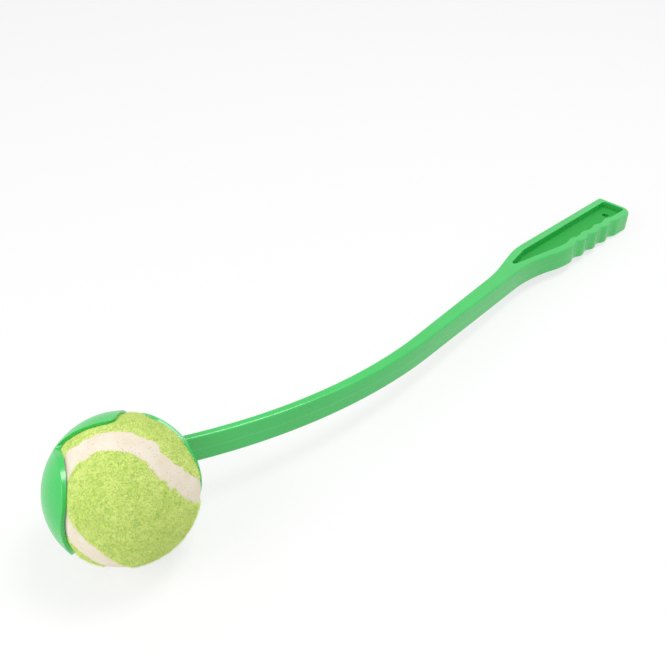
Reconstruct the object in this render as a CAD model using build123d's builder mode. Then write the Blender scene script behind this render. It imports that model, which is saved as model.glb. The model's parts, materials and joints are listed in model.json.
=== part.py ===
"""Ball launcher for dogs: one springy moulding with a cup, a bowed shaft and a finger grip, and a felt ball.

The launcher lies on a level surface, z = 0, with +X running from the cup towards the handle.
It is mirror-symmetric about its parting plane, which slopes from the cup down to the handle's end.
"""
import os
from math import asin, atan, atan2, cos, degrees, hypot, radians, sin, sqrt

from build123d import *

# Ball
ball_d = 62.6
felt_t = 3.0
core_t = 3.5
core_cement_t = 0.3
band_w = 10.0
band_sink = 0.4
ball_turn = (-54.4, -12.7, -125.7)  # degrees, how the ball happens to sit in the cup

# Cup: a spherical shell cut into a tip petal, two side petals and a tongue on the shaft's side
cup_gap = 0.2
cup_back_t = 1.7
cup_front_t = 0.9
cup_tip_shift = 0.45  # thickens the tip petal and thins the tongue
rim_round = 0.25
tip_petal_lip = 4.6
tip_petal_w = 60.2
tip_petal_back_w = 25.0
tip_petal_round = 14.0
side_petal_nose_x = 2.2
side_petal_nose_y = 5.55
side_petal_nose_round = 4.1
side_petal_front_x = 32.4
side_petal_back_x = 33.0
notch_round = 1.0
tongue_lip = 17.6
tongue_lip_w = 27.6
tongue_lip_round = 17.0
tongue_w = 51.0
tongue_wide_y = 4.0
tongue_wide_round = 6.0
tongue_back_w = 23.0

# Shaft: its near edge faces the open side of the cup, its back edge the other way
reach = 394.0
root_x = 22.0
root_y = 5.4
root_t = 4.5
belly_share = 0.546  # of the way from the cup's centre to the neck
belly_out = 21.7
belly_t = 6.25
back_belly_lead = 9.1
near_lean = 5.9
back_lean = 7.5
root_h = 14.3
end_h = 12.1
shaft_draft = 1.2
shaft_round = 1.1

# Handle: the neck, the finger grip on its near edge, and a pocket in each side
neck_r = 105.0
flare_lean = 14.1
flare_r = 65.0
first_ridge_run = 4.3
ridge_pitch = 13.7
ridge_depth = 1.65
ridge_count = 4
grip_land = 18.9
back_neck_lead = 21.5
back_neck_r = 124.0
back_ramp_lean = 16.7
back_ramp_run = 15.7
back_shoulder_r = 66.0
back_handle_lean = 1.8
end_round_near = 8.5
end_round_back = 2.0
pocket_wall = 5.2
pocket_end_wall = 3.0
pocket_web = 2.2
pocket_lead = 1.0
pocket_tip_lean = 7.8
pocket_back_lean = 13.0
pocket_ridge_depth = 1.3
pocket_tip_round = 1.5
pocket_bend_round = 6.0
pocket_end_round = 2.5
pocket_draft = 3.0
pocket_foot_round = 1.5
hole_d = 4.5
hole_from_end = 11.2
hole_y = 1.4

overrun = 2.0

ball_r = ball_d / 2
core_r = ball_r - felt_t
cup_r = ball_r + cup_gap
cup_outer_r = cup_r + (cup_back_t + cup_front_t) / 2
cup_back_shift = (cup_back_t - cup_front_t) / 2
cup_span = cup_outer_r + overrun

neck_run = neck_r * (sin(radians(near_lean)) + sin(radians(flare_lean)))
flare_run = flare_r * sin(radians(flare_lean))
grip_run = first_ridge_run + ridge_pitch * ridge_count - ridge_pitch / 4
neck_x = reach - grip_land - grip_run - flare_run - neck_run
belly_x = belly_share * neck_x

# The slope that lets the lower side petal and the handle's end edge both touch the surface
petal_nose_y = side_petal_nose_y + side_petal_nose_round / 2
petal_drop = sqrt(cup_outer_r**2 - (petal_nose_y - cup_back_shift) ** 2)
span = reach + cup_tip_shift
slope = asin(petal_drop / hypot(span, end_h / 2)) - atan2(end_h / 2, span)
end_x = span * cos(slope) + end_h / 2 * sin(slope)
cup_back = cup_outer_r + cup_back_shift
lengthwise = Vector(cos(slope), 0, -sin(slope))
cup_outer_centre = Vector((cup_outer_r - end_x) / 2, (ball_r - cup_back) / 2 + cup_back_shift, petal_drop)
cup_centre = cup_outer_centre + cup_tip_shift * lengthwise - Vector(0, cup_back_shift)

lying = Plane(cup_centre, x_dir=lengthwise, z_dir=(sin(slope), 0, cos(slope)))
across = Plane(cup_centre, x_dir=lying.y_dir, z_dir=lying.x_dir)
side_on = Plane(cup_centre, x_dir=lying.x_dir, z_dir=-lying.y_dir)
upwards = Axis(cup_centre, lying.z_dir)
lengthways = Axis(cup_centre, lying.x_dir)
ball_frame = lying.rotated(ball_turn)


def bow(root, belly, lean):
    """Arc from the root, level at the belly, on to where it leans back by a number of degrees."""
    run = Vector(belly) - Vector(root)
    drop = root[1] - belly[1]
    radius = run.length**2 / (2 * drop)
    root_lean = degrees(asin(-run.X / radius))
    return CenterArc((belly[0], belly[1] + radius), radius, root_lean - 90, lean - root_lean)


def run_to(start, lean, x):
    """Straight line from start, leaning by a number of degrees, as far as x."""
    return PolarLine(start, (x - start.X) / cos(radians(lean)), lean)


def grip_edge(start, depth):
    """Finger-grip waves of one depth, from a crest onwards."""
    lean = 2 * degrees(atan(2 * depth / ridge_pitch))
    radius = ridge_pitch / (4 * sin(radians(lean)))
    edge = JernArc(start, (1, 0), first_ridge_run / sin(radians(lean)), lean)
    for ridge in range(ridge_count):
        edge = JernArc(edge @ 1, edge % 1, radius, -2 * lean)
        is_last = ridge == ridge_count - 1
        edge = JernArc(edge @ 1, edge % 1, radius, lean if is_last else 2 * lean)
    return edge


def meeting_point(start, lean, other, other_lean):
    """Where a line from start meets a line through other, each given by its lean in degrees."""
    gap = Vector(other) - Vector(start)
    way = Vector(1, 0).rotate(Axis.Z, lean)
    other_way = Vector(1, 0).rotate(Axis.Z, other_lean)
    return Vector(start) + way * (gap.cross(other_way).Z / way.cross(other_way).Z)


# The space that the petals fill: tip petal and tongue drawn along the shaft, side petals from above
with BuildPart() as petals:
    with BuildSketch(across):
        with BuildLine():
            Polyline(
                (-tip_petal_lip, -tip_petal_w / 2),
                (cup_span, -tip_petal_back_w / 2),
                (cup_span, tip_petal_back_w / 2),
                (-tip_petal_lip, tip_petal_w / 2),
                close=True,
            )
        make_face()
        fillet(vertices().group_by(Axis.X)[0], tip_petal_round)
    extrude(amount=-cup_span)
    with BuildSketch(across):
        with BuildLine():
            Polyline(
                (-tongue_lip, tongue_lip_w / 2),
                (-tongue_lip, -tongue_lip_w / 2),
                (tongue_wide_y, -tongue_w / 2),
                (cup_span, -tongue_back_w / 2),
                (cup_span, tongue_back_w / 2),
                (tongue_wide_y, tongue_w / 2),
                close=True,
            )
        make_face()
        fillet(vertices().group_by(Axis.X)[1], tongue_wide_round)
        fillet(vertices().group_by(Axis.X)[0], tongue_lip_round)
    extrude(amount=cup_span)
    with BuildSketch(lying.offset(-cup_span)):
        with BuildLine():
            nose = (side_petal_nose_x, side_petal_nose_y)
            Polyline(nose, (side_petal_back_x, cup_span), (-side_petal_front_x, cup_span), close=True)
        make_face()
        fillet(vertices().sort_by(Axis.Y)[0], side_petal_nose_round)
    extrude(amount=2 * cup_span)

# Upper half of the shaft and handle: the drafted plan outline, cut to its side profile
with BuildPart() as half_shaft:
    with BuildSketch(lying):
        with BuildLine():
            near_bow = bow((root_x, root_y), (belly_x, -belly_out), near_lean)
            near_run = run_to(near_bow @ 1, near_lean, neck_x)
            neck = JernArc(near_run @ 1, near_run % 1, neck_r, -near_lean - flare_lean)
            flare = JernArc(neck @ 1, neck % 1, flare_r, flare_lean)
            grip = grip_edge(flare @ 1, ridge_depth)
            near_corner = (reach, (grip @ 1).Y)
            back_belly = (belly_x - back_belly_lead, belly_t - belly_out)
            back_bow = bow((root_x, root_y + root_t), back_belly, back_lean)
            back_run = run_to(back_bow @ 1, back_lean, neck_x - back_neck_lead)
            back_neck = JernArc(back_run @ 1, back_run % 1, back_neck_r, back_ramp_lean - back_lean)
            back_ramp = PolarLine(back_neck @ 1, back_ramp_run, back_ramp_lean)
            shoulder_turn = back_handle_lean - back_ramp_lean
            shoulder = JernArc(back_ramp @ 1, back_ramp % 1, back_shoulder_r, shoulder_turn)
            back_corner = meeting_point(shoulder @ 1, back_handle_lean, near_corner, 90)
            Polyline(grip @ 1, near_corner, back_corner, shoulder @ 1)
            Line(near_bow @ 0, back_bow @ 0)
        make_face()
        fillet(vertices().sort_by_distance(near_corner)[0], end_round_near)
        fillet(vertices().sort_by_distance(back_corner)[0], end_round_back)
    extrude(amount=root_h, taper=shaft_draft)
    with BuildSketch(side_on.offset(-cup_span)):
        with BuildLine():
            foot = (reach + overrun, 0)
            Polyline((0, 0), foot, (reach + overrun, end_h / 2), (0, root_h / 2), close=True)
        make_face()
    extrude(amount=2 * cup_span, mode=Mode.INTERSECT)
    fillet(faces().sort_by(upwards)[-1].edges(), shaft_round)

# Handle pocket, drawn from its lower mouth and turned over to the upper half
with BuildPart() as half_pocket:
    mouth = end_h / 2 + overrun
    inner_crest = (flare @ 1) + Vector(0, pocket_wall)
    inner_back = (shoulder @ 1) + Vector(0, -pocket_wall)
    with BuildSketch(lying.offset(-mouth)):
        with BuildLine():
            inner_r = flare_r - pocket_wall
            inner_centre = inner_crest + Vector(0, inner_r)
            inner_flare = CenterArc(inner_centre, inner_r, -90 - pocket_tip_lean, pocket_tip_lean)
            tip = meeting_point(inner_flare @ 0, -pocket_tip_lean, (neck_x - pocket_lead, 0), 90)
            inner_grip = grip_edge(inner_crest, pocket_ridge_depth)
            inner_near = (reach - pocket_end_wall, (inner_grip @ 1).Y)
            inner_far = meeting_point(inner_back, back_handle_lean, inner_near, 90)
            bend = meeting_point(tip, pocket_back_lean, inner_back, back_handle_lean)
            Polyline(inner_grip @ 1, inner_near, inner_far, bend, tip, inner_flare @ 0)
        make_face()
        fillet(vertices().group_by(Axis.X)[-1], pocket_end_round)
        fillet(vertices().sort_by_distance(bend)[0], pocket_bend_round)
        fillet(vertices().sort_by_distance(tip)[0], pocket_tip_round)
    extrude(amount=mouth - pocket_web / 2, taper=pocket_draft)
    fillet(faces().sort_by(upwards)[-1].edges(), pocket_foot_round)
    mirror(about=lying, mode=Mode.REPLACE)

with BuildPart() as cup:
    with Locations(cup_outer_centre):
        Sphere(cup_outer_r)
    add(petals.part, mode=Mode.INTERSECT)
    with Locations(cup_centre):
        Sphere(cup_r, mode=Mode.SUBTRACT)
    creases = edges().filter_by(GeomType.LINE).filter_by(upwards, reverse=True)
    fillet(creases.filter_by(lengthways, reverse=True), notch_round)
    outside = faces().filter_by(GeomType.SPHERE).sort_by(SortBy.AREA)[-1]
    fillet(outside.edges(), rim_round)

with BuildPart() as launcher:
    add(half_shaft.part)
    add(half_pocket.part, mode=Mode.SUBTRACT)
    mirror(about=lying)
    with BuildSketch(lying.offset(-pocket_web)):
        with Locations((reach - hole_from_end, -hole_y)):
            Circle(hole_d / 2)
    extrude(amount=2 * pocket_web, mode=Mode.SUBTRACT)
    with Locations(cup_centre):
        Sphere(cup_r, mode=Mode.SUBTRACT)
    add(cup.part)

# Core: two rubber half shells and the cement that joins their edges
with BuildPart(ball_frame) as core:
    Sphere(core_r)
    Sphere(core_r - core_t, mode=Mode.SUBTRACT)

with BuildPart() as core_half_upper:
    add(core.part)
    split(bisect_by=ball_frame.offset(core_cement_t / 2), keep=Keep.TOP)

with BuildPart() as core_half_lower:
    add(core.part)
    split(bisect_by=ball_frame.offset(-core_cement_t / 2), keep=Keep.BOTTOM)

with BuildPart() as core_cement_ring:
    add(core.part)
    split(bisect_by=ball_frame.offset(core_cement_t / 2), keep=Keep.BOTTOM)
    split(bisect_by=ball_frame.offset(-core_cement_t / 2), keep=Keep.TOP)

# Seam: a closed band of four half rings, two above and two below the core's joint
band_half = degrees(band_w / 2 / ball_r)
seam_lobes = ((ball_frame.x_dir, Plane.YZ), (ball_frame.y_dir, Plane.XZ))


def seam_sections(outer_r, other_side):
    """Band sections from the core out to a radius, 45 degrees off their felt lobe's axis."""
    with BuildSketch(ball_frame) as sections:
        with BuildLine():
            outer = CenterArc((0, 0), outer_r, 45 - band_half, 2 * band_half)
            inner = CenterArc((0, 0), core_r, 45 - band_half, 2 * band_half)
            Line(outer @ 0, inner @ 0)
            Line(outer @ 1, inner @ 1)
        make_face()
        mirror(about=other_side)
    return sections.sketch


with BuildPart() as seam_cement:
    for lobe_axis, other_side in seam_lobes:
        sections = seam_sections(ball_r - band_sink, other_side)
        revolve(sections.faces(), axis=Axis(cup_centre, lobe_axis), revolution_arc=180)

with BuildPart() as seam_gap:
    for lobe_axis, other_side in seam_lobes:
        sections = seam_sections(ball_r + overrun, other_side)
        revolve(sections.faces(), axis=Axis(cup_centre, lobe_axis), revolution_arc=180)

# Felt: a shell that the seam parts into two like panels
with BuildPart(ball_frame) as felt:
    Sphere(ball_r)
    Sphere(core_r, mode=Mode.SUBTRACT)

with BuildPart() as panels:
    add(felt.part)
    add(seam_gap.part, mode=Mode.SUBTRACT)

panel_solids = panels.part.solids().sort_by(Axis(cup_centre, ball_frame.z_dir))

with BuildPart() as felt_panel_lower:
    add(panel_solids[0])

with BuildPart() as felt_panel_upper:
    add(panel_solids[-1])

pieces = {
    "launcher": launcher,
    "core_half_upper": core_half_upper,
    "core_half_lower": core_half_lower,
    "core_cement_ring": core_cement_ring,
    "felt_panel_upper": felt_panel_upper,
    "felt_panel_lower": felt_panel_lower,
    "seam_cement": seam_cement,
}
os.makedirs("parts", exist_ok=True)
for name, piece in pieces.items():
    piece.part.label = name
    export_step(piece.part, f"parts/{name}.step")
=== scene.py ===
# %% [markdown]
# # A ball launcher for dogs, dressed in Blender
#
# The object is a green plastic thrower, one moulding from cup to handle, with a felt ball snapped
# into its cup. The CAD frame already holds the exact solids, so this lesson only adds what CAD
# leaves out: the felt's nap and ragged edges, the cement in the ball's seam, and every finish.

# %% Load the frame
import json
import math

import bmesh
import bpy
import numpy as np
from mathutils import Matrix, Vector, noise
from mathutils.bvhtree import BVHTree


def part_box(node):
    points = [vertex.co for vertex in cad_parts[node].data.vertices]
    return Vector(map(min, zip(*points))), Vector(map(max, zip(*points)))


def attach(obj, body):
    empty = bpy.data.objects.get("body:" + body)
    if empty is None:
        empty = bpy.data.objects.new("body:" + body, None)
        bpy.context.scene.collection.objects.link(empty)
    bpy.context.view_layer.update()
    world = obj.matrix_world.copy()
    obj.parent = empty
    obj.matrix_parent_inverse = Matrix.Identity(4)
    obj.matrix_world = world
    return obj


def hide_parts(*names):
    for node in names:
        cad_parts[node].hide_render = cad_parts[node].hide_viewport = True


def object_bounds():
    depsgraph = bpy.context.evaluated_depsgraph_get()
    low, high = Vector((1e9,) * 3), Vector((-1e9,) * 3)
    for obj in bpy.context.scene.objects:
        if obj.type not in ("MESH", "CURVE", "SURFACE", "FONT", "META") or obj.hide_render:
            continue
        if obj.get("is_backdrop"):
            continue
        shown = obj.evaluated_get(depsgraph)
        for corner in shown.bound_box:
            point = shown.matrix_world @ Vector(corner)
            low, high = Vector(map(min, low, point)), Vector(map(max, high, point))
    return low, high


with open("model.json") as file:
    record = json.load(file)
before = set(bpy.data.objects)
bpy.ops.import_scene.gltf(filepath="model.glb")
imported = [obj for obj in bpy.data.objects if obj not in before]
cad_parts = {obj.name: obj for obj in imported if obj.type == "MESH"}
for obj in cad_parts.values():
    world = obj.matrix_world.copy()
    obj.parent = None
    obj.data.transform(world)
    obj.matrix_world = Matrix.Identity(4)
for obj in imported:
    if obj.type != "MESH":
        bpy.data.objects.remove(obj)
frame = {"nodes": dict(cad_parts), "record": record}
cad_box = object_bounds()
nodes = frame["nodes"]
MM = 0.001
print("nodes:", sorted(nodes))

# %% [markdown]
# ## Where things are
#
# Every later step needs two places. The ball's centre is the middle of the box round the two core
# halves. The launcher's own axes come from the hang hole, which is drilled square to the plane in
# which the mould parted. Reading both from the frame keeps this script in step with the CAD.

# %% Ball centre and launcher axes
corners = [corner for name in ("core_half_upper", "core_half_lower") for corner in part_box(name)]
ball_centre = (Vector(map(min, *corners)) + Vector(map(max, *corners))) / 2
upwards = Vector(frame["record"]["mounts"][0]["axis"]).normalized()
sideways = Vector((0, 1, 0))
lengthways = sideways.cross(upwards)
print("ball centre, mm:", [round(x / MM, 2) for x in ball_centre])

# %% [markdown]
# ## The camera
#
# The photograph looks down on the ball from a short distance, so the far handle looks small. That
# strong perspective is set by the camera's place, not by its lens: a 50 mm lens on a 36 mm sensor,
# 0.4 m from the ball. Its place and its look were fitted to the outlines in the photograph.

# %% Camera
CAMERA_FROM_BALL = Vector((-130.8, -250.35, 283.27)) * MM
CAMERA_LOOK = Vector((0.5703, 0.5610, -0.6002)).normalized()


def add_object(name, data):
    """A new object in the scene."""
    made = bpy.data.objects.new(name, data)
    bpy.context.scene.collection.objects.link(made)
    return made


def look_along(thing, way):
    """Turn a camera or a lamp to look along a direction."""
    thing.rotation_euler = way.to_track_quat("-Z", "Y").to_euler()


camera_data = bpy.data.cameras.new("camera")
camera_data.lens = 50
camera_data.sensor_width = 36
camera_data.clip_start = 10 * MM
camera = add_object("camera", camera_data)
camera.location = ball_centre + CAMERA_FROM_BALL
look_along(camera, CAMERA_LOOK)
bpy.context.scene.camera = camera
print("camera to ball, mm:", round((camera.location - ball_centre).length / MM, 1))

# %% [markdown]
# ## Helpers for node graphs
#
# A finish is a graph of nodes. These helpers keep the graphs readable: one adds a node with its
# settings, one feeds a socket with a link or a plain value, one starts a finish, and one tells
# where the shaded point is. Points are read in the piece's own metres, so a pattern moves with it.


# %% Node helpers
def add_node(tree, kind, **settings):
    """A new node with its settings."""
    made = tree.nodes.new(kind)
    for key, value in settings.items():
        setattr(made, key, value)
    return made


def feed(tree, socket, source):
    """Link a socket to another one, or give it a plain value."""
    if isinstance(source, bpy.types.NodeSocket):
        tree.links.new(source, socket)
    else:
        socket.default_value = source


def new_material(name):
    """An empty finish, its tree and its Principled shader."""
    material = bpy.data.materials.new(name)
    material.use_nodes = True
    return material, material.node_tree, material.node_tree.nodes["Principled BSDF"]


def object_point(tree):
    """Where the shaded point is, in the piece's own metres."""
    return add_node(tree, "ShaderNodeTexCoord").outputs["Object"]


print("node helpers ready")

# %% [markdown]
# ## Helpers for recipes
#
# Every finish below is made of the same few steps: noise, a stretch to a new range, arithmetic, a
# mix of two colours, a bump and a reach along an axis. With a function for each, a recipe reads as
# a list of steps and not as a list of sockets.


# %% Recipe helpers
def noise_at(tree, vector, scale, detail=2.0, roughness=0.5, distortion=0.0):
    """Noise from 0 to 1 with this many bumps per metre."""
    made = add_node(tree, "ShaderNodeTexNoise")
    feed(tree, made.inputs["Vector"], vector)
    feed(tree, made.inputs["Scale"], scale)
    feed(tree, made.inputs["Detail"], detail)
    feed(tree, made.inputs["Roughness"], roughness)
    feed(tree, made.inputs["Distortion"], distortion)
    return made.outputs[0]


def remap(tree, value, low, high, to_low=0.0, to_high=1.0):
    """Value from low to high, stretched to a new range and held at its ends."""
    made = add_node(tree, "ShaderNodeMapRange", clamp=True)
    feed(tree, made.inputs["Value"], value)
    feed(tree, made.inputs["From Min"], low)
    feed(tree, made.inputs["From Max"], high)
    feed(tree, made.inputs["To Min"], to_low)
    feed(tree, made.inputs["To Max"], to_high)
    return made.outputs[0]


def math_of(tree, operation, a, b=0.0):
    """One step of arithmetic on two values."""
    made = add_node(tree, "ShaderNodeMath", operation=operation)
    feed(tree, made.inputs[0], a)
    feed(tree, made.inputs[1], b)
    return made.outputs[0]


def mix_colours(tree, share, a, b):
    """Colour a at share 0, colour b at share 1."""
    # The node has inputs A and B for each kind of data: those for colours are numbers 6 and 7.
    made = add_node(tree, "ShaderNodeMix", data_type="RGBA")
    feed(tree, made.inputs[0], share)
    feed(tree, made.inputs[6], a)
    feed(tree, made.inputs[7], b)
    return made.outputs[2]


def bump_of(tree, height, distance, strength=1.0):
    """A normal from a height, with the height's depth in metres."""
    made = add_node(tree, "ShaderNodeBump")
    feed(tree, made.inputs["Height"], height)
    feed(tree, made.inputs["Distance"], distance)
    feed(tree, made.inputs["Strength"], strength)
    return made.outputs["Normal"]


def share_along(tree, vector, axis):
    """How far a vector reaches along an axis."""
    made = add_node(tree, "ShaderNodeVectorMath", operation="DOT_PRODUCT")
    feed(tree, made.inputs[0], vector)
    feed(tree, made.inputs[1], axis)
    return made.outputs["Value"]


print("recipe helpers ready")

# %% [markdown]
# ## A shared effect: mottle
#
# Nothing real is one flat colour. Plastic has faint flow clouds, felt has patches, and cement and
# rubber have grit. All of them are the same recipe at other sizes, so it is one node group: broad
# patches, plus fine grain, both from 0 to 1.


# %% Mottle group
def make_mottle():
    """Node group: broad patches and fine grain at a point."""
    group = bpy.data.node_groups.new("mottle", "ShaderNodeTree")
    group.interface.new_socket("Point", in_out="INPUT", socket_type="NodeSocketVector")
    for name, value in (("Patches per metre", 60.0), ("Grains per metre", 1200.0)):
        socket = group.interface.new_socket(name, in_out="INPUT", socket_type="NodeSocketFloat")
        socket.default_value = value
    for name in ("Patches", "Grain"):
        group.interface.new_socket(name, in_out="OUTPUT", socket_type="NodeSocketFloat")
    given = add_node(group, "NodeGroupInput").outputs
    result = add_node(group, "NodeGroupOutput")
    patches = noise_at(group, given["Point"], given["Patches per metre"], detail=3.0, roughness=0.55)
    grain = noise_at(group, given["Point"], given["Grains per metre"], detail=2.0, roughness=0.6)
    feed(group, result.inputs["Patches"], remap(group, patches, 0.3, 0.7))
    feed(group, result.inputs["Grain"], remap(group, grain, 0.25, 0.75))
    return group


mottle = make_mottle()


def mottle_at(tree, point, patches_per_metre, grains_per_metre):
    """The mottle group placed in a finish: its patches and its grain."""
    made = add_node(tree, "ShaderNodeGroup", node_tree=mottle)
    feed(tree, made.inputs["Point"], point)
    feed(tree, made.inputs["Patches per metre"], patches_per_metre)
    feed(tree, made.inputs["Grains per metre"], grains_per_metre)
    return made.outputs["Patches"], made.outputs["Grain"]


print("group:", mottle.name)

# %% [markdown]
# ## Marks of the mould, and painted shade in the pockets
#
# Two places on the launcher get their own finish. A thin pale line runs where the two mould
# halves met. It lies in one plane, so the distance from the plane is all the finish needs, and the
# line follows the CAD shape wherever it goes. The pockets in the handle come from an unpolished
# core, which makes them more matt, and their colour is darkened there as painted shade. A few
# straight edges in the launcher's own axes give their outline. Each edge below has a run along the
# launcher from the ball's centre, and the places across it where that run begins and ends.

# %% Parting line and pockets
LINE_FADE = (0.12 * MM, 0.34 * MM)
LINE_START = (24 * MM, 36 * MM)
NEAR_RUN, NEAR_PLACES = (274.3 * MM, 314.2 * MM), (-4.6 * MM, -10.1 * MM)
TIP_RUN, TIP_PLACES = (274.2 * MM, 292.7 * MM), (-1.6 * MM, 2.6 * MM)
BACK_RUN, BACK_RISE = (292.7 * MM, 388.4 * MM), (0.0, 3.0 * MM)
POCKET_START = (273 * MM, 276 * MM)
POCKET_BRIM = (3.5 * MM, 5.8 * MM)
POCKET_BLUR = 0.5 * MM


def place_on_launcher(tree, point):
    """How far a point lies from the ball's centre: along the launcher, across it and off its plane."""
    offset = add_node(tree, "ShaderNodeVectorMath", operation="SUBTRACT")
    feed(tree, offset.inputs[0], point)
    feed(tree, offset.inputs[1], ball_centre)
    along, across, height = (
        share_along(tree, offset.outputs["Vector"], axis) for axis in (lengthways, sideways, upwards)
    )
    return along, across, math_of(tree, "ABSOLUTE", height)


def parting_line(tree, along, off_plane):
    """1 on the line where the mould halves met, which starts past the cup."""
    line = remap(tree, off_plane, *LINE_FADE, 1.0, 0.0)
    return math_of(tree, "MULTIPLY", line, remap(tree, along, *LINE_START))


def pocket_mask(tree, along, across, off_plane):
    """1 inside the handle's pockets, 0 outside them and on their brim."""
    near_edge = remap(tree, along, *NEAR_RUN, *NEAR_PLACES)
    tip_edge = remap(tree, along, *TIP_RUN, *TIP_PLACES)
    back_edge = math_of(tree, "ADD", tip_edge, remap(tree, along, *BACK_RUN, *BACK_RISE))
    inside = remap(tree, math_of(tree, "SUBTRACT", across, near_edge), 0.0, POCKET_BLUR)
    for bound in (
        remap(tree, math_of(tree, "SUBTRACT", back_edge, across), 0.0, POCKET_BLUR),
        remap(tree, along, *POCKET_START),
        remap(tree, off_plane, *POCKET_BRIM, 1.0, 0.0),
    ):
        inside = math_of(tree, "MULTIPLY", inside, bound)
    return inside


print("pocket, mm from the ball:", [round(x / MM, 1) for x in (TIP_RUN[0], BACK_RUN[1])])

# %% [markdown]
# ## The launcher's plastic
#
# The real one is polypropylene, bright green right through, with a satin gloss. Faint clouds in
# the colour, a fine texture from the mould's steel and the parting line make it look moulded. Inside
# the pockets the finish is more matt, and the colour is darker as painted shade. All of it is worked
# out from the point in space, so no seam of a picture can show on the moulding.

# %% Green plastic
GREEN, BRIGHT_GREEN = (0.012, 0.52, 0.080, 1), (0.018, 0.57, 0.094, 1)
LINE_GREEN = (0.12, 0.62, 0.20, 1)
# The pockets' deep green is painted shade, darker than the plastic's own green.
POCKET_SHADE_GREEN = (0.002, 0.37, 0.036, 1)
LINE_SHARES = (0.25, 0.5)
POCKET_SHADE_SHARE = 0.9
SATIN_ROUGHNESS = (0.24, 0.32)
POCKET_MATT = 0.5
GRAIN_SHARE = 0.04


def make_green_plastic():
    """Satin green plastic with a parting line, and matt pockets darkened with painted shade."""
    material, tree, shader = new_material("green_plastic")
    point = object_point(tree)
    clouds, grain = mottle_at(tree, point, patches_per_metre=45.0, grains_per_metre=1800.0)
    along, across, off_plane = place_on_launcher(tree, point)
    line = parting_line(tree, along, off_plane)
    pocket = pocket_mask(tree, along, across, off_plane)

    colour = mix_colours(tree, clouds, GREEN, BRIGHT_GREEN)
    line_share = math_of(tree, "MULTIPLY", line, remap(tree, clouds, 0.0, 1.0, *LINE_SHARES))
    colour = mix_colours(tree, line_share, colour, LINE_GREEN)
    # Painted shade: the plastic's colour is darkened inside the pockets.
    pocket_shade_share = math_of(tree, "MULTIPLY", pocket, POCKET_SHADE_SHARE)
    feed(tree, shader.inputs["Base Color"], mix_colours(tree, pocket_shade_share, colour, POCKET_SHADE_GREEN))

    satin = remap(tree, clouds, 0.0, 1.0, *SATIN_ROUGHNESS)
    matt = math_of(tree, "MULTIPLY", pocket, POCKET_MATT)
    feed(tree, shader.inputs["Roughness"], math_of(tree, "ADD", satin, matt))
    shader.inputs["Specular IOR Level"].default_value = 0.9
    relief = math_of(tree, "ADD", math_of(tree, "MULTIPLY", grain, GRAIN_SHARE), line)
    feed(tree, shader.inputs["Normal"], bump_of(tree, relief, distance=0.06 * MM, strength=0.6))
    return material


def dress(name, finish):
    """Give a CAD node one finish."""
    nodes[name].data.materials.clear()
    nodes[name].data.materials.append(finish)


dress("launcher", make_green_plastic())
print("launcher faces:", len(nodes["launcher"].data.polygons))

# %% [markdown]
# ## The ball's seam as a rule
#
# Two dumb-bell shaped panels cover the ball, and one closed seam runs between them. Above the
# core's joint it follows circles 45 degrees off the ball's x axis, and below it circles 45 degrees
# off its y axis. One function of a direction gives how far it is from the seam and on which panel
# it lies, and every piece of the ball is cut with that function.

# %% Seam rule
BALL_R = 31.3 * MM
BALL_TURN = (-54.4, -12.7, -125.7)
turn = Matrix.Identity(3)
for angle, axis in zip(BALL_TURN, "XYZ"):
    turn = turn @ Matrix.Rotation(math.radians(angle), 3, axis)
launcher_axes = Matrix((lengthways, sideways, upwards)).transposed()
ball_axes = np.array(launcher_axes @ turn)
centre = np.array(ball_centre)


def unit(vectors):
    """Vectors brought to length 1."""
    return vectors / np.linalg.norm(vectors, axis=1, keepdims=True)


def seam_offset(ways):
    """Distance of unit directions from the seam's middle along the ball, positive on the upper panel."""
    x, y, z = (ways @ ball_axes).T
    above = np.arccos(np.clip(np.abs(x), 0, 1)) - math.pi / 4
    below = math.pi / 4 - np.arccos(np.clip(np.abs(y), 0, 1))
    return BALL_R * np.where(z > 0, above, below)


for name in ("felt_panel_upper", "felt_panel_lower"):
    points = np.array([v.co for v in nodes[name].data.vertices]) - centre
    offsets = seam_offset(unit(points)) / MM
    print(name, "lies from the seam, mm:", offsets.min().round(2), offsets.max().round(2))

# %% [markdown]
# ## Ragged felt edges
#
# On the real ball one stretch of the seam is cut clean, and another is scalloped, where the felt
# was torn and pressed down by hand. Noise read at the point itself gives an edge that never
# repeats, and a broad mask makes it ragged only on that stretch.

# %% Edge rule
RAGGED_WAY = Vector((0.1, -0.2, 0.97)).normalized()
RAGGED_LEAST, RAGGED_MIDDLE, RAGGED_RATE = 0.10, 0.40, 1.1
SCALLOP, SCALLOP_RATE = 1.6 * MM, 7.5
TOOTH, TOOTH_RATE = 1.1 * MM, 19.0
UPPER_DRAW = Vector((3.1, 0.4, 7.7))
LOWER_DRAW = Vector((8.6, 2.9, 1.2))


def edge_shift(way, draw):
    """How far one felt edge wanders from its straight line at a direction."""
    way = Vector(way)
    ragged = min(1.0, max(RAGGED_LEAST, RAGGED_MIDDLE + RAGGED_RATE * way.dot(RAGGED_WAY)))
    scallops = noise.noise(way * SCALLOP_RATE + draw)
    teeth = noise.noise(way * TOOTH_RATE - draw)
    return ragged * (SCALLOP * scallops + TOOTH * teeth)


def edge_shifts(ways, draw):
    """Edge wander of many directions."""
    return np.array([edge_shift(way, draw) for way in ways])


seen_from = [(camera.location - ball_centre).normalized()]
print("edges towards the camera wander, mm:", *(edge_shifts(seen_from, UPPER_DRAW) / MM).round(2))

# %% [markdown]
# ## A fine grid round the ball
#
# The ball's skin is cut from one fine sphere. An icosphere has triangles of nearly one size all
# over, where a globe of meridians would crowd them at its poles.


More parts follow.
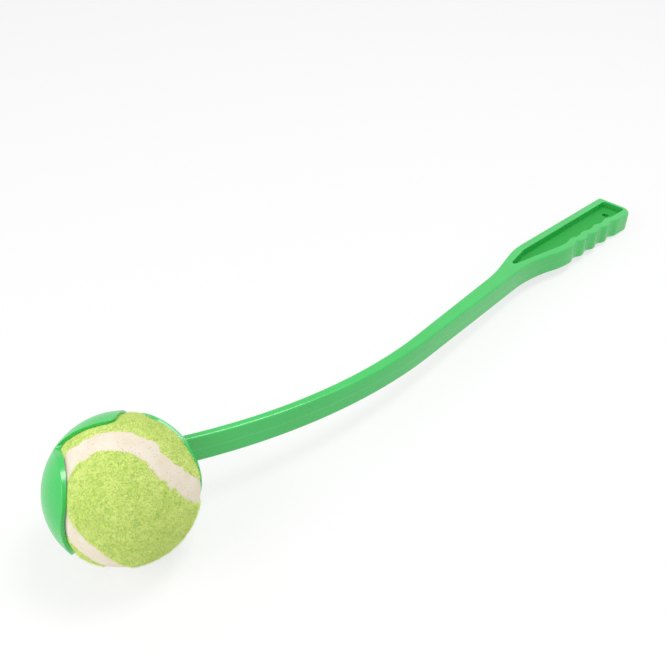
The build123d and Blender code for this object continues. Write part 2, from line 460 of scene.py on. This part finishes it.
# %% Grid
def ball_grid(subdivisions):
    """Vertices and triangles of a fine, even sphere of radius 1."""
    mesh = bmesh.new()
    bmesh.ops.create_icosphere(mesh, subdivisions=subdivisions, radius=1.0)
    points = np.array([v.co for v in mesh.verts])
    faces = np.array([[v.index for v in f.verts] for f in mesh.faces])
    mesh.free()
    return unit(points), faces


def sides_of(faces):
    """The three sides of every triangle, each as a start and an end."""
    return np.concatenate([faces[:, [0, 1]], faces[:, [1, 2]], faces[:, [2, 0]]])


grid_ways, grid_faces = ball_grid(subdivisions=7)
print("grid triangles:", len(grid_faces))

# %% [markdown]
# ## Where the felt is free
#
# Felt stands up where nothing touches it and lies pressed flat under the cup and close to the table.
# A ray from the ball's centre through each grid point finds the cup: where it meets the launcher, the
# point is covered. The change from flat to free is then spread over a few points of the grid.

# %% Free felt
CUP_ROOM = 5.0 * MM
TABLE_ROOM = 2.0 * MM
launcher_skin = BVHTree.FromPolygons(
    [v.co for v in nodes["launcher"].data.vertices],
    [tuple(p.vertices) for p in nodes["launcher"].data.polygons],
)


def is_covered(way):
    """Whether the cup or the table lies close to the ball in a direction."""
    way = Vector(way)
    near_table = (ball_centre + BALL_R * way).z < cad_box[0].z + TABLE_ROOM
    return near_table or launcher_skin.ray_cast(ball_centre, way, BALL_R + CUP_ROOM)[0] is not None


def free_share(ways, faces, margin=1, spread=8):
    """0 where the cup or the table covers the grid, 1 where the felt is free."""
    pairs = sides_of(faces)
    pairs = np.concatenate([pairs, pairs[:, ::-1]])

    def round_sum(values):
        """Sum of the values round each point."""
        return np.bincount(pairs[:, 0], weights=values[pairs[:, 1]], minlength=len(ways))

    covered = np.array([is_covered(way) for way in ways])
    for _ in range(margin):
        covered = covered | (round_sum(covered) > 0)
    free = np.where(covered, 0.0, 1.0)
    neighbours = round_sum(np.ones(len(ways)))
    for _ in range(spread):
        free = np.where(covered, 0.0, round_sum(free) / neighbours)
    return free


grid_free = free_share(grid_ways, grid_faces)
print("free share of the ball:", round(float(grid_free.mean()), 3))

# %% [markdown]
# ## How a pad is cut from the grid
#
# A felt panel is a pad of even thickness on the core, and so is the cement between the panels.
# Triangles on the wanted side of the edge are kept, the outermost points slide out to the edge
# itself, and a second skin on the core closes the pad into a real solid.

# %% Patch helpers
CORE_R = 28.3 * MM
CORE_GAP = 0.01 * MM
SHARP_FROM = math.radians(60)
LEAST_SLOPE = 1e-9


def slide_to_edge(ways, inside, rounds=3, step=1e-4):
    """Move directions along the ball until their inside distance is zero."""
    for _ in range(rounds):
        gap = inside(ways)
        slope = np.stack([(inside(unit(ways + step * axis)) - gap) / step for axis in np.eye(3)], axis=1)
        steepness = np.maximum((slope**2).sum(axis=1), LEAST_SLOPE)
        ways = unit(ways - slope * (gap / steepness)[:, None])
    return ways


def rim_of(faces):
    """Sides that only one triangle has."""
    sides = sides_of(faces).tolist()
    twins = {(end, start) for start, end in sides}
    return np.array([side for side in sides if tuple(side) not in twins])


def add_pad(name, outer, inner, faces, rim, material):
    """A solid piece between two skins with the same triangles."""
    count = len(outer)
    shapes = faces.tolist() + (faces[:, ::-1] + count).tolist()
    shapes += [[end, start, start + count, end + count] for start, end in rim.tolist()]
    mesh = bpy.data.meshes.new(name)
    mesh.from_pydata(np.concatenate([outer, inner]).tolist(), [], shapes)
    mesh.materials.append(material)
    mesh.shade_smooth()
    mesh.set_sharp_from_angle(angle=SHARP_FROM)
    mesh.update()
    return add_object(name, mesh)


def patch(name, inside, radius_of, material):
    """A closed pad between the core and radius_of, where inside is positive."""
    kept = grid_faces[(inside(grid_ways)[grid_faces] > 0).all(axis=1)]
    used, faces = np.unique(kept, return_inverse=True)
    faces = faces.reshape(-1, 3)
    ways, free = grid_ways[used], grid_free[used]
    rim = rim_of(faces)
    edge = np.unique(rim)
    ways[edge] = slide_to_edge(ways[edge], inside)
    outer = centre + ways * radius_of(ways, inside(ways), free)[:, None]
    inner = centre + ways * (CORE_R + CORE_GAP)
    piece = add_pad(name, outer, inner, faces, rim, material)
    free_values = np.concatenate([free, np.zeros(len(inner))]).astype(np.float32)
    piece.data.attributes.new("free", "FLOAT", "POINT").data.foreach_set("value", free_values)
    return piece


print("pad thickness, mm:", round((BALL_R - CORE_R) / MM, 2))

# %% [markdown]
# ## How high felt and cement stand
#
# Felt is a little uneven everywhere, fluffs up into tufts where it is free, and rolls down at its cut
# edge. Cement lies lower and dips where it laps under the felt. Both rise a little where the cup does
# not hold them down. Real height is used here, and not only a bump, because the ball's outline and
# the felt's step down to the cement can be seen.

# %% Heights
BAND_LAP = 0.35 * MM
FELT_LUMP, FELT_LUMP_RATE = 0.06 * MM, 9.0
FELT_TUFT, FELT_TUFT_RATE = 0.12 * MM, 30.0
FELT_RISE = 0.36 * MM
FELT_ROLL, FELT_ROLL_WIDTH = 0.3 * MM, 1.1 * MM
BAND_LUMP, BAND_LUMP_RATE = 0.06 * MM, 14.0
BAND_SINK = 0.4 * MM
BAND_DIP = 0.25 * MM
BAND_RISE = 0.65 * MM


def noise_of(ways, rate):
    """Noise from about -1 to 1 at many directions."""
    return np.array([noise.noise(Vector(way) * rate) for way in ways])


def felt_radius(ways, depth, free):
    """Felt that is flat under the cup, tufted where it is free, and rolls down at its cut edge."""
    lumps = FELT_LUMP * noise_of(ways, FELT_LUMP_RATE)
    tufts = FELT_TUFT * noise_of(ways, FELT_TUFT_RATE)
    roll = FELT_ROLL * np.clip(1 - depth / FELT_ROLL_WIDTH, 0, 1) ** 2
    return BALL_R + lumps + free * (FELT_RISE + tufts) - roll


def band_radius(ways, depth, free):
    """Cement that is a little lumpy and dips where it laps under the felt."""
    lumps = BAND_LUMP * noise_of(ways, BAND_LUMP_RATE)
    dip = BAND_DIP * np.clip(1 - depth / BAND_LAP, 0, 1)
    return BALL_R - BAND_SINK + lumps - dip + BAND_RISE * free


print("free felt stands past the cement by, mm:", round((FELT_RISE + BAND_SINK - BAND_RISE) / MM, 2))

# %% [markdown]
# ## Felt and cement finishes
#
# Felt is short wool and nylon fibre, needled flat: soft light comes back from it at every angle,
# which is what the sheen gives. Its colour is mottled and pale yellow at the fibres' tips, with
# deep green painted shade where one looks between the fibres. The cement is matt, off-white
# rubber with brown specks.

# %% Felt and cement
FELT_GREEN, FELT_YELLOW = (0.68, 0.84, 0.18, 1), (0.86, 0.95, 0.32, 1)
# Painted shade: the deep green that the felt is darkened to between its fibres.
SHADE_BETWEEN_FIBRES = (0.34, 0.59, 0.065, 1)
FIBRE_TIP = (0.92, 0.97, 0.50, 1)
FELT_SHEEN = (0.85, 0.95, 0.5, 1)
FELT_ROUGHNESS = (0.8, 0.95)
CEMENT_WARM, CEMENT_PALE = (0.80, 0.70, 0.54, 1), (0.85, 0.78, 0.66, 1)
CEMENT_SPECK = (0.42, 0.28, 0.13, 1)
CEMENT_ROUGHNESS = (0.62, 0.8)


def make_felt(name, tone_attribute=None):
    """Yellow-green felt with painted shade between its fibres. Loose fibres carry their own tone as an
    attribute.
    """
    material, tree, shader = new_material(name)
    point = object_point(tree)
    patches, grain = mottle_at(tree, point, patches_per_metre=110.0, grains_per_metre=1500.0)
    strands = noise_at(tree, point, 760.0, detail=3.0, roughness=0.65, distortion=1.5)
    base = mix_colours(tree, patches, FELT_GREEN, FELT_YELLOW)
    # Painted shade between the fibres: deep green where the strand noise is low.
    between = remap(tree, strands, 0.38, 0.56, to_low=0.9, to_high=0.0)
    colour = mix_colours(tree, between, base, SHADE_BETWEEN_FIBRES)
    if tone_attribute:
        tone = add_node(tree, "ShaderNodeAttribute", attribute_name=tone_attribute).outputs["Fac"]
        pale = remap(tree, tone, 0.0, 1.0, to_low=0.1, to_high=0.9)
    else:
        pale = remap(tree, grain, 0.55, 0.95, to_low=0.0, to_high=0.6)
        relief = math_of(tree, "ADD", strands, math_of(tree, "MULTIPLY", grain, 0.6))
        feed(tree, shader.inputs["Normal"], bump_of(tree, relief, distance=0.35 * MM, strength=0.7))
    feed(tree, shader.inputs["Base Color"], mix_colours(tree, pale, colour, FIBRE_TIP))
    feed(tree, shader.inputs["Roughness"], remap(tree, grain, 0.0, 1.0, *FELT_ROUGHNESS))
    shader.inputs["Sheen Weight"].default_value = 0.25
    shader.inputs["Sheen Roughness"].default_value = 0.5
    shader.inputs["Sheen Tint"].default_value = FELT_SHEEN
    shader.inputs["Specular IOR Level"].default_value = 0.15
    return material


def make_band_cement():
    """Off-white cement with fine brown specks."""
    material, tree, shader = new_material("seam_cement")
    point = object_point(tree)
    patches, grain = mottle_at(tree, point, patches_per_metre=160.0, grains_per_metre=2600.0)
    colour = mix_colours(tree, patches, CEMENT_WARM, CEMENT_PALE)
    dots = noise_at(tree, point, 1500.0, detail=1.0)
    specks = remap(tree, dots, 0.66, 0.74, to_low=0.0, to_high=0.6)
    feed(tree, shader.inputs["Base Color"], mix_colours(tree, specks, colour, CEMENT_SPECK))
    feed(tree, shader.inputs["Roughness"], remap(tree, grain, 0.0, 1.0, *CEMENT_ROUGHNESS))
    feed(tree, shader.inputs["Normal"], bump_of(tree, grain, distance=0.05 * MM, strength=0.5))
    return material


felt = make_felt("ball_felt")
nap_felt = make_felt("ball_nap", "tone")
band_cement = make_band_cement()
print("finishes:", felt.name, nap_felt.name, band_cement.name)

# %% [markdown]
# ## Felt panels and seam band
#
# The two panels and the band are now cut from the same grid with the same seam rule, so they meet
# without a gap. Each takes the place of the plain CAD solid of the same piece and moves with the
# ball.

# %% Ball skin
BAND_W = 10.0 * MM


def upper_inside(ways):
    """Distance inside the upper panel's edge."""
    return seam_offset(ways) - BAND_W / 2 - edge_shifts(ways, UPPER_DRAW)


def lower_inside(ways):
    """Distance inside the lower panel's edge."""
    return -seam_offset(ways) - BAND_W / 2 - edge_shifts(ways, LOWER_DRAW)


def band_inside(ways):
    """Distance inside the band's nearer edge, which laps a little under the felt."""
    return BAND_LAP - np.maximum(upper_inside(ways), lower_inside(ways))


felt_upper = patch("ball_felt_upper", upper_inside, felt_radius, felt)
felt_lower = patch("ball_felt_lower", lower_inside, felt_radius, felt)
band = patch("ball_seam_band", band_inside, band_radius, band_cement)
for piece, node, slot in (
    (felt_upper, "felt_panel_upper", "ball_felt"),
    (felt_lower, "felt_panel_lower", "ball_felt"),
    (band, "seam_cement", "seam_cement"),
):
    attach(piece, "ball")
    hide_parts(node)
    print(piece.name, "faces:", len(piece.data.polygons))

# %% [markdown]
# ## One fibre of the nap
#
# A real ball's felt is brushed until loose fibre ends stand up, and they blur its outline. A fibre is
# only a three-sided cone, because there are so many. Each one leans and turns by chance, always from
# the same seed.

# %% Fibre helpers
SIZE_RANGE, SIZE_SEED = (0.5, 1.2), 11
TONE_RANGE, TONE_SEED = (0.0, 1.0), 12


def random_share(tree, low, high, seed):
    """A chance value for each fibre."""
    # The node has a Min, a Max and a Value for each kind of data: these are the ones for plain numbers.
    made = add_node(tree, "FunctionNodeRandomValue", data_type="FLOAT")
    feed(tree, made.inputs[2], low)
    feed(tree, made.inputs[3], high)
    feed(tree, made.inputs["Seed"], seed)
    return made.outputs[1]


def fibre_shape(tree, thickness, length):
    """One upright fibre that tapers to a point."""
    fibre = add_node(tree, "GeometryNodeMeshCone")
    feed(tree, fibre.inputs["Vertices"], 3)
    feed(tree, fibre.inputs["Radius Top"], 0.0)
    feed(tree, fibre.inputs["Radius Bottom"], thickness)
    feed(tree, fibre.inputs["Depth"], length)
    return fibre.outputs["Mesh"]


def fibre_turn(tree, upright, lean):
    """The turn of a fibre that leans off its upright by chance and spins freely."""
    chance = add_node(tree, "FunctionNodeRandomValue", data_type="FLOAT_VECTOR")
    for socket, sign in (("Min", -1.0), ("Max", 1.0)):
        ends = add_node(tree, "ShaderNodeCombineXYZ")
        feed(tree, ends.inputs["X"], math_of(tree, "MULTIPLY", lean, sign))
        feed(tree, ends.inputs["Y"], math_of(tree, "MULTIPLY", lean, sign))
        feed(tree, ends.inputs["Z"], sign * math.pi)
        feed(tree, chance.inputs[socket], ends.outputs[0])
    tilt = add_node(tree, "FunctionNodeEulerToRotation")
    feed(tree, tilt.inputs[0], chance.outputs[0])
    stand = add_node(tree, "FunctionNodeRotateRotation", rotation_space="LOCAL")
    feed(tree, stand.inputs["Rotation"], upright)
    feed(tree, stand.inputs["Rotate By"], tilt.outputs[0])
    return stand.outputs[0]


print("fibres grow to, of their length:", SIZE_RANGE)

# %% [markdown]
# ## The nap
#
# Placing thousands of fibres by hand is hopeless, so Geometry Nodes scatters them: points on the
# free felt, and one fibre on each, smaller where the felt is less free. Every fibre keeps a tone of
# its own, which the finish reads.


# %% Nap tree
def add_nap_sockets(tree):
    """The named inputs and the output of the nap."""
    tree.interface.new_socket("Felt", in_out="INPUT", socket_type="NodeSocketGeometry")
    for name in ("Fibres per square metre", "Length", "Thickness", "Lean"):
        tree.interface.new_socket(name, in_out="INPUT", socket_type="NodeSocketFloat")
    tree.interface.new_socket("Seed", in_out="INPUT", socket_type="NodeSocketInt")
    tree.interface.new_socket("Finish", in_out="INPUT", socket_type="NodeSocketMaterial")
    tree.interface.new_socket("Nap", in_out="OUTPUT", socket_type="NodeSocketGeometry")


def make_nap_tree():
    """Geometry Nodes: fibres scattered over felt where its free attribute is high."""
    tree = bpy.data.node_groups.new("felt_nap", "GeometryNodeTree")
    add_nap_sockets(tree)
    given = add_node(tree, "NodeGroupInput").outputs
    result = add_node(tree, "NodeGroupOutput")

    named = add_node(tree, "GeometryNodeInputNamedAttribute", data_type="FLOAT")
    feed(tree, named.inputs["Name"], "free")
    free = named.outputs["Attribute"]
    density = math_of(tree, "MULTIPLY", given["Fibres per square metre"], free)
    scatter = add_node(tree, "GeometryNodeDistributePointsOnFaces", distribute_method="RANDOM")
    feed(tree, scatter.inputs["Mesh"], given["Felt"])
    feed(tree, scatter.inputs["Density"], density)
    feed(tree, scatter.inputs["Seed"], given["Seed"])

    size = math_of(tree, "MULTIPLY", random_share(tree, *SIZE_RANGE, SIZE_SEED), free)
    place = add_node(tree, "GeometryNodeInstanceOnPoints")
    feed(tree, place.inputs["Points"], scatter.outputs["Points"])
    feed(tree, place.inputs["Instance"], fibre_shape(tree, given["Thickness"], given["Length"]))
    feed(tree, place.inputs["Rotation"], fibre_turn(tree, scatter.outputs["Rotation"], given["Lean"]))
    feed(tree, place.inputs["Scale"], size)

    tone = add_node(tree, "GeometryNodeStoreNamedAttribute", data_type="FLOAT", domain="INSTANCE")
    feed(tree, tone.inputs["Geometry"], place.outputs["Instances"])
    feed(tree, tone.inputs["Name"], "tone")
    feed(tree, tone.inputs["Value"], random_share(tree, *TONE_RANGE, TONE_SEED))
    real = add_node(tree, "GeometryNodeRealizeInstances")
    feed(tree, real.inputs["Geometry"], tone.outputs["Geometry"])
    finish = add_node(tree, "GeometryNodeSetMaterial")
    feed(tree, finish.inputs["Geometry"], real.outputs["Geometry"])
    feed(tree, finish.inputs["Material"], given["Finish"])
    feed(tree, result.inputs["Nap"], finish.outputs["Geometry"])
    return tree


nap_tree = make_nap_tree()
nap_inputs = [item for item in nap_tree.interface.items_tree if item.in_out == "INPUT"]
nap_sockets = {item.name: item.identifier for item in nap_inputs}
print("nap inputs:", list(nap_sockets))

# %% [markdown]
# ## A nap for each panel
#
# Each panel gets its own nap as a piece of its own, so that the felt below stays a clean solid. The
# nodes run on a copy of the panel, and what they grow is kept as a plain mesh.


# %% Nap pieces
def grow_nap(name, felt_piece, seed):
    """A piece of loose fibres that stands on a felt panel."""
    carrier = add_object(name + "_carrier", felt_piece.data)
    modifier = carrier.modifiers.new("nap", "NODES")
    modifier.node_group = nap_tree
    settings = {
        "Fibres per square metre": 9e6,
        "Length": 1.2 * MM,
        "Thickness": 0.07 * MM,
        "Lean": 1.25,
        "Seed": seed,
        "Finish": nap_felt,
    }
    for key, value in settings.items():
        modifier[nap_sockets[key]] = value
    solved = carrier.evaluated_get(bpy.context.evaluated_depsgraph_get())
    mesh = bpy.data.meshes.new_from_object(solved)
    bpy.data.objects.remove(carrier)
    return add_object(name, mesh)


for name, felt_piece, seed in (("ball_nap_upper", felt_upper, 3), ("ball_nap_lower", felt_lower, 4)):
    nap = grow_nap(name, felt_piece, seed)
    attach(nap, "ball")
    print(nap.name, "faces:", len(nap.data.polygons))

# %% [markdown]
# ## The core inside
#
# The rubber half shells and the cement ring between them are hidden, but the part can be taken
# apart, so they get their own finishes: dark gritty rubber, and dried cement. Both are the mottle
# recipe again, with other colours.

# %% Core finishes
RUBBER_DARK, RUBBER_GREY = (0.10, 0.09, 0.08, 1), (0.14, 0.13, 0.12, 1)
GLUE_DARK, GLUE_PALE = (0.30, 0.25, 0.18, 1), (0.40, 0.34, 0.25, 1)
GRIT_ROUGHNESS = 0.15


def make_core_finish(name, low, high, rough):
    """Gritty moulded rubber or dried cement."""
    material, tree, shader = new_material(name)
    patches, grain = mottle_at(tree, object_point(tree), patches_per_metre=90.0, grains_per_metre=1500.0)
    feed(tree, shader.inputs["Base Color"], mix_colours(tree, patches, low, high))
    feed(tree, shader.inputs["Roughness"], remap(tree, grain, 0.0, 1.0, rough, rough + GRIT_ROUGHNESS))
    feed(tree, shader.inputs["Normal"], bump_of(tree, grain, distance=0.05 * MM, strength=0.5))
    return material


core_rubber = make_core_finish("core_rubber", RUBBER_DARK, RUBBER_GREY, rough=0.6)
core_cement = make_core_finish("core_cement", GLUE_DARK, GLUE_PALE, rough=0.5)
dress("core_half_upper", core_rubber)
dress("core_half_lower", core_rubber)
dress("core_cement_ring", core_cement)
print("core finishes:", core_rubber.name, core_cement.name)

# %% [markdown]
# ## The floor
#
# The photograph has a white ground. The floor is a pale plane that looks mostly plain white to the
# camera and in reflections, so it reads as white paper but keeps the object's shadow. It lies a hair
# below the object, so that the two never share a plane.

# %% Floor
FLOOR_REACH = 4.0
FLOOR_GAP = 0.02 * MM
PAPER_WHITE = 0.75


def seen_directly(tree):
    """1 for rays from the camera, off a gloss or through glass, 0 for light that only bounces."""
    rays = add_node(tree, "ShaderNodeLightPath").outputs
    seen = math_of(tree, "MAXIMUM", rays["Is Camera Ray"], rays["Is Glossy Ray"])
    return math_of(tree, "MAXIMUM", seen, rays["Is Transmission Ray"])


def make_paper():
    """Pale paper that looks nearly white."""
    material, tree, shader = new_material("white_paper")
    shader.inputs["Base Color"].default_value = (0.9, 0.9, 0.9, 1)
    shader.inputs["Roughness"].default_value = 0.9
    shader.inputs["Specular IOR Level"].default_value = 0.0
    white = add_node(tree, "ShaderNodeEmission")
    white.inputs["Color"].default_value = (1, 1, 1, 1)
    white.inputs["Strength"].default_value = 1.0
    whiten = add_node(tree, "ShaderNodeMixShader")
    feed(tree, whiten.inputs[0], math_of(tree, "MULTIPLY", seen_directly(tree), PAPER_WHITE))
    feed(tree, whiten.inputs[1], shader.outputs[0])
    feed(tree, whiten.inputs[2], white.outputs[0])
    feed(tree, tree.nodes["Material Output"].inputs["Surface"], whiten.outputs[0])
    return material


floor_z = cad_box[0].z - FLOOR_GAP
floor_corners = [(x * FLOOR_REACH, y * FLOOR_REACH, floor_z) for x, y in ((-1, -1), (1, -1), (1, 1), (-1, 1))]
floor_mesh = bpy.data.meshes.new("floor")
floor_mesh.from_pydata(floor_corners, [], [(0, 1, 2, 3)])
floor_mesh.materials.append(make_paper())
floor = add_object("floor", floor_mesh)
floor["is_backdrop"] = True
print("floor at z, mm:", round(floor_z / MM, 3))

# %% [markdown]
# ## Light
#
# The photograph's light is soft and comes from above. A soft lamp above, a softer one from the left
# and a white surround give it, at a level where a colour renders about as it is written. The surround
# looks white but lights with less, so that the shadows keep some depth.

# %% Lamps and surround
SURROUND_LIGHT = 0.57
world = bpy.data.worlds.new("surround")
bpy.context.scene.world = world
world.use_nodes = True
sky_tree = world.node_tree
sky = sky_tree.nodes["Background"]
sky.inputs["Color"].default_value = (1, 1, 1, 1)
sky_strength = remap(sky_tree, seen_directly(sky_tree), 0.0, 1.0, SURROUND_LIGHT, 1.0)
feed(sky_tree, sky.inputs["Strength"], sky_strength)


def add_lamp(name, place, aim, size, watts):
    """A square soft lamp that shines from a place towards a point."""
    data = bpy.data.lights.new(name, "AREA")
    data.shape = "SQUARE"
    data.size = size
    data.energy = watts
    lamp = add_object(name, data)
    lamp.location = place
    look_along(lamp, Vector(aim) - Vector(place))


add_lamp("overhead_softbox", place=(0.2, -0.14, 0.95), aim=(-0.05, 0.0, 0.03), size=0.36, watts=4.2)
add_lamp("left_softbox", place=(-0.8, 0.1, 0.45), aim=(-0.15, 0.0, 0.03), size=0.5, watts=2.6)
bpy.context.scene.view_settings.view_transform = "Standard"

# %% [markdown]
# ## The size
#
# The dressed object may stand a little proud of the CAD solids where felt is soft, and no further.
# How far its box grows past the CAD box is printed.

# %% Sizes
shown_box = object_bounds()
growth = (*(cad_box[0] - shown_box[0]), *(shown_box[1] - cad_box[1]))
print("box grows by, mm:", [round(x / MM, 2) for x in growth])
